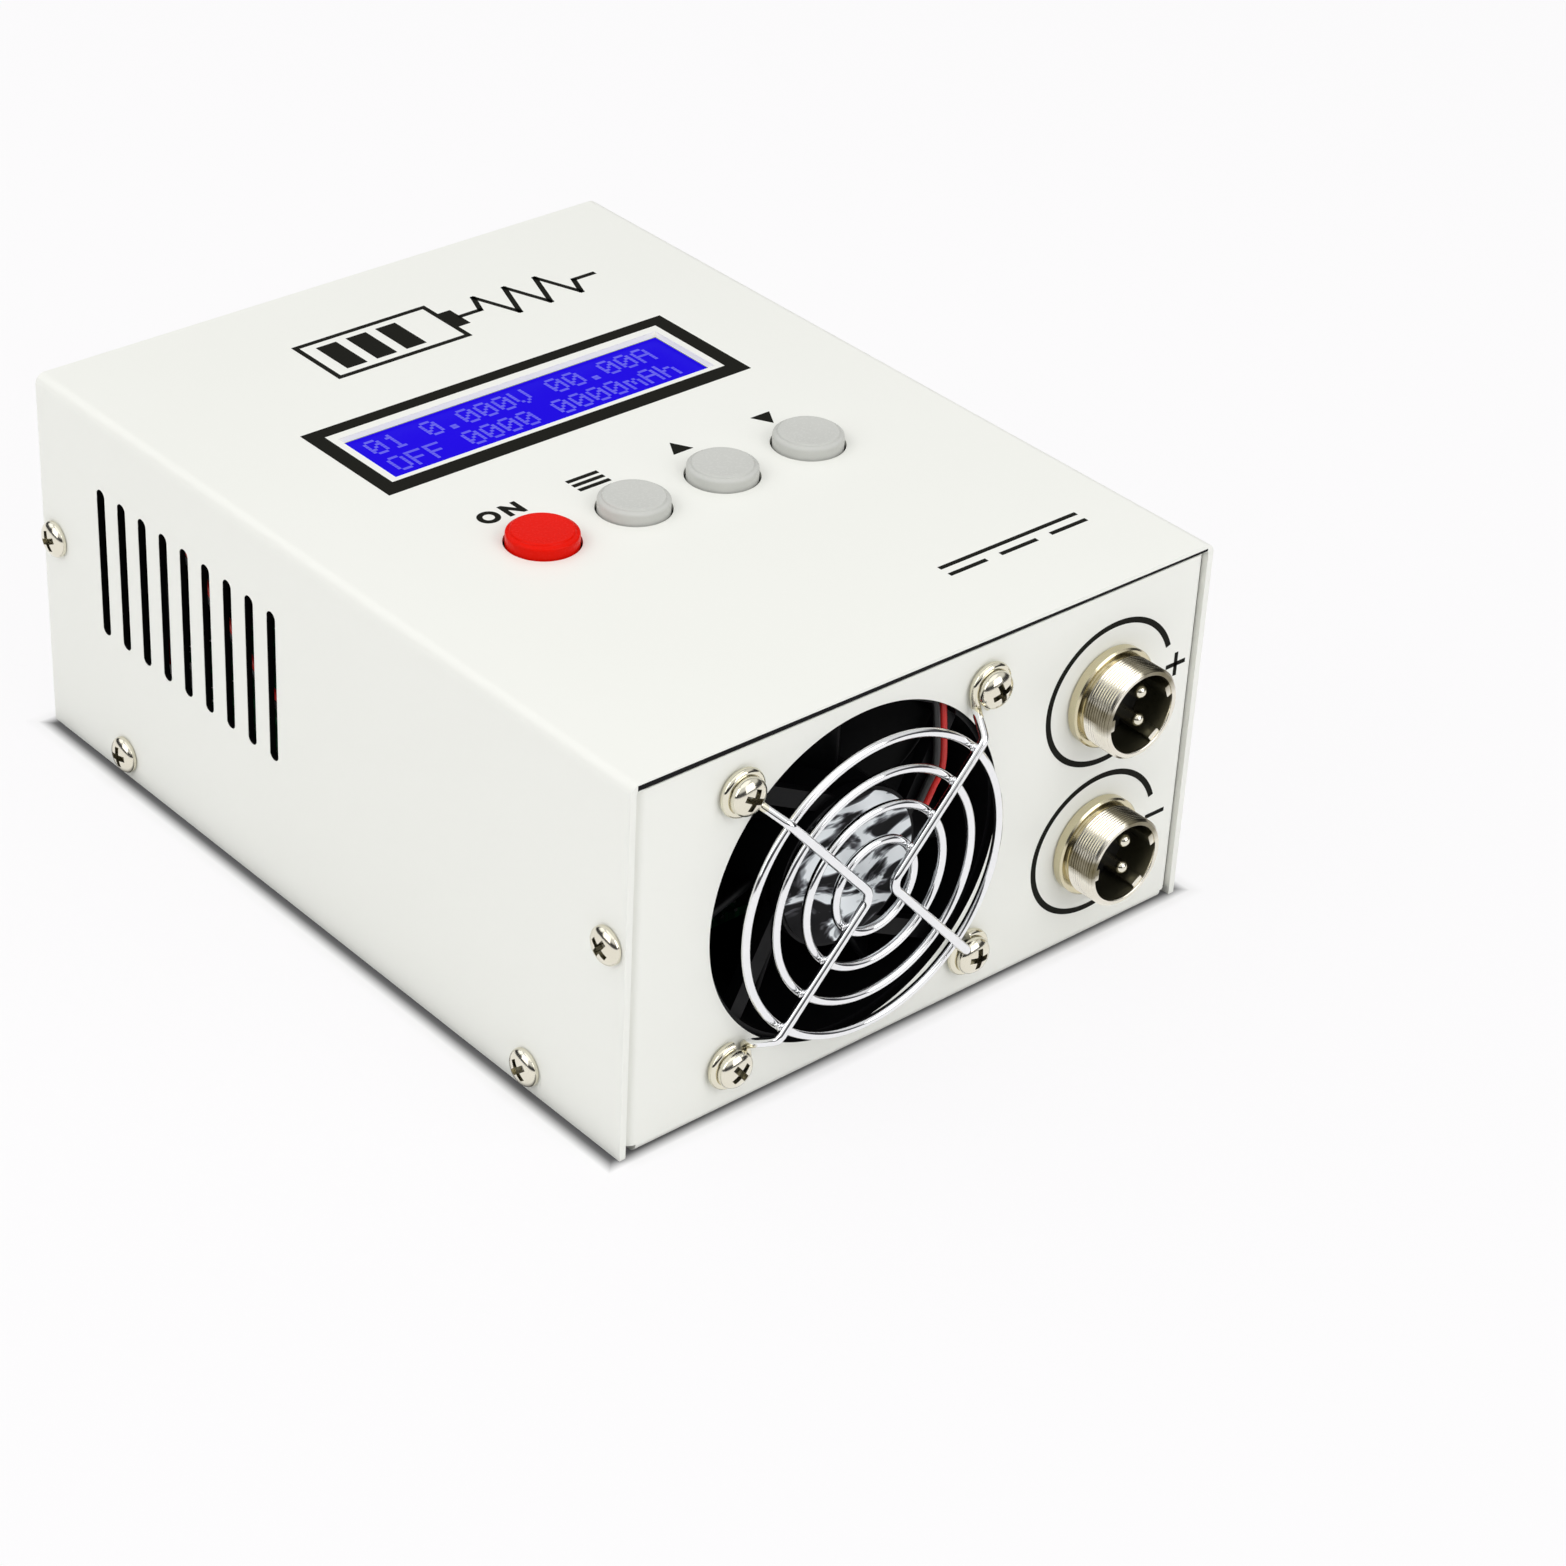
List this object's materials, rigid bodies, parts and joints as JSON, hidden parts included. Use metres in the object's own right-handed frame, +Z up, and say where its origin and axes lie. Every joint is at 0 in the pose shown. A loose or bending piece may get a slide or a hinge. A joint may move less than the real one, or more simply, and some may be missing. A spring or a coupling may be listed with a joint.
{
  "type": "battery capacity tester",
  "caption": "Bench battery capacity tester and electronic load: folded steel case, blue display, push buttons, guarded fan and round threaded battery sockets.",
  "frame": {"origin": "middle of the underside of the base, midway between the cover's front and rear ends", "axes": "+X to the right seen from the front, +Y from the front panel to the rear panel, +Z up"},
  "size_m": [0.124, 0.1658, 0.0704],
  "materials": {
    "ivory_paint": "fine smooth powder coat, satin",
    "nickel": "bright nickel with a warm tint",
    "bezel_steel": "black, satin",
    "blue_display": "lit display glass, gloss",
    "white_plastic": "moulded, satin",
    "green_board": "solder mask, half gloss",
    "zinc_steel": "bright zinc plating",
    "black_plastic": "moulded, fine matt grain",
    "red_cap": "smooth, half gloss",
    "grey_cap": "smooth, half gloss",
    "fan_plastic": "moulded, half gloss",
    "silver_label": "printed foil, gloss",
    "copper": "enamelled copper and laminations",
    "brass": "turned, clean",
    "epoxy_black": "moulded epoxy, matt",
    "chrome_wire": "bright chrome plating",
    "red_insulation": "soft, half gloss",
    "black_insulation": "soft, half gloss",
    "aluminium": "extruded, matt",
    "sleeve_blue": "shrunk sleeve, gloss",
    "grey_insulation": "soft, matt",
    "gold_pins": "gold flash"
  },
  "bodies": {
    "case": {"tray": "ivory_paint", "top_cover": "ivory_paint", "case_screws": "nickel", "lcd_bezel": "bezel_steel", "lcd_glass": "blue_display", "lcd_backlight": "white_plastic", "lcd_board": "green_board", "button_board": "green_board", "board_spacers": "zinc_steel", "spacer_screws": "zinc_steel", "tact_housings": "black_plastic", "fan_frame": "fan_plastic", "fan_label": "silver_label", "fan_stator": "copper", "fan_bearing": "brass", "guard_arms": "chrome_wire", "guard_rings": "chrome_wire", "fan_screws": "nickel", "fan_nuts": "zinc_steel", "fan_wire_red": "red_insulation", "fan_wire_black": "black_insulation", "fan_header": "white_plastic", "socket_pos_shell": "nickel", "socket_pos_insulator": "black_plastic", "socket_pos_contacts": "nickel", "socket_pos_nut": "nickel", "socket_neg_shell": "nickel", "socket_neg_insulator": "black_plastic", "socket_neg_contacts": "nickel", "socket_neg_nut": "nickel", "lead_positive": "red_insulation", "lead_negative": "black_insulation", "lead_posts": "brass", "main_board": "green_board", "board_pillars": "zinc_steel", "board_screws": "zinc_steel", "heat_sink": "aluminium", "transistors": "epoxy_black", "transistor_screws": "zinc_steel", "inductor": "copper", "capacitors": "sleeve_blue", "shunt": "copper", "board_chips": "epoxy_black", "ribbon_cable": "grey_insulation", "ribbon_headers": "black_plastic", "power_inlet": "black_plastic", "inlet_contact": "zinc_steel", "data_port": "white_plastic", "data_port_pins": "gold_pins"},
    "impeller": {"fan_rotor": "fan_plastic", "fan_magnet": "epoxy_black", "fan_shaft": "zinc_steel"},
    "button_on": {"cap_on": "red_cap", "plunger_on": "white_plastic"},
    "button_set": {"cap_set": "grey_cap", "plunger_set": "white_plastic"},
    "button_inc": {"cap_inc": "grey_cap", "plunger_inc": "white_plastic"},
    "button_dec": {"cap_dec": "grey_cap", "plunger_dec": "white_plastic"}
  },
  "joints": [
    {"name": "fan_spin", "type": "hinge", "parent": "case", "child": "impeller", "pos_m": [-0.014, -0.065, 0.0343], "axis": [0, -1, 0], "continuous": true},
    {"name": "button_on_press", "type": "slide", "parent": "case", "child": "button_on", "axis": [0, 0, -1], "range_m": [0, 0.0005], "stiffness_N_per_m": 1200, "springref_m": -0.001},
    {"name": "button_set_press", "type": "slide", "parent": "case", "child": "button_set", "axis": [0, 0, -1], "range_m": [0, 0.0005], "stiffness_N_per_m": 1200, "springref_m": -0.001},
    {"name": "button_inc_press", "type": "slide", "parent": "case", "child": "button_inc", "axis": [0, 0, -1], "range_m": [0, 0.0005], "stiffness_N_per_m": 1200, "springref_m": -0.001},
    {"name": "button_dec_press", "type": "slide", "parent": "case", "child": "button_dec", "axis": [0, 0, -1], "range_m": [0, 0.0005], "stiffness_N_per_m": 1200, "springref_m": -0.001}
  ]
}
